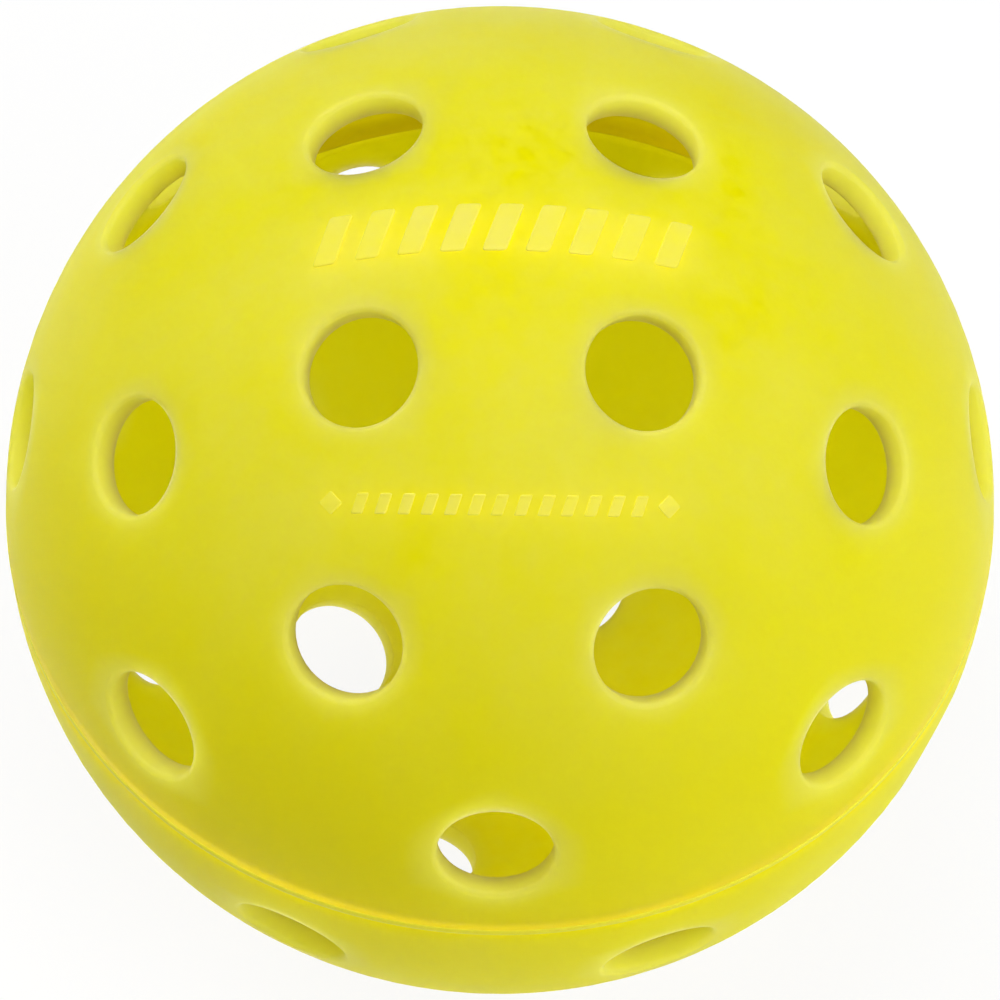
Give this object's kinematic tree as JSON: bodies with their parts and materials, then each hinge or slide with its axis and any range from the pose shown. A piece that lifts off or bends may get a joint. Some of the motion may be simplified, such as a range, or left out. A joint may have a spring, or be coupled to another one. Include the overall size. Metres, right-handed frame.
{
  "type": "pickleball ball",
  "caption": "Hollow plastic ball with round holes all over, made of two half shells welded at the equator, with raised marks near one pole.",
  "frame": {"origin": "centre of the ball, in the plane of the weld seam", "axes": "+Z through the pole of the half that carries the raised marks, with the seam in the XY plane; +X along the rows of marks, in the direction that they read"},
  "size_m": [0.0741, 0.074, 0.0741],
  "materials": {
    "ball_plastic": "satin moulded, slightly see-through",
    "weld_plastic": "satin, melted and flattened"
  },
  "bodies": {
    "root": {"upper_shell": "ball_plastic", "lower_shell": "ball_plastic", "weld_bead": "weld_plastic"}
  },
  "joints": []
}
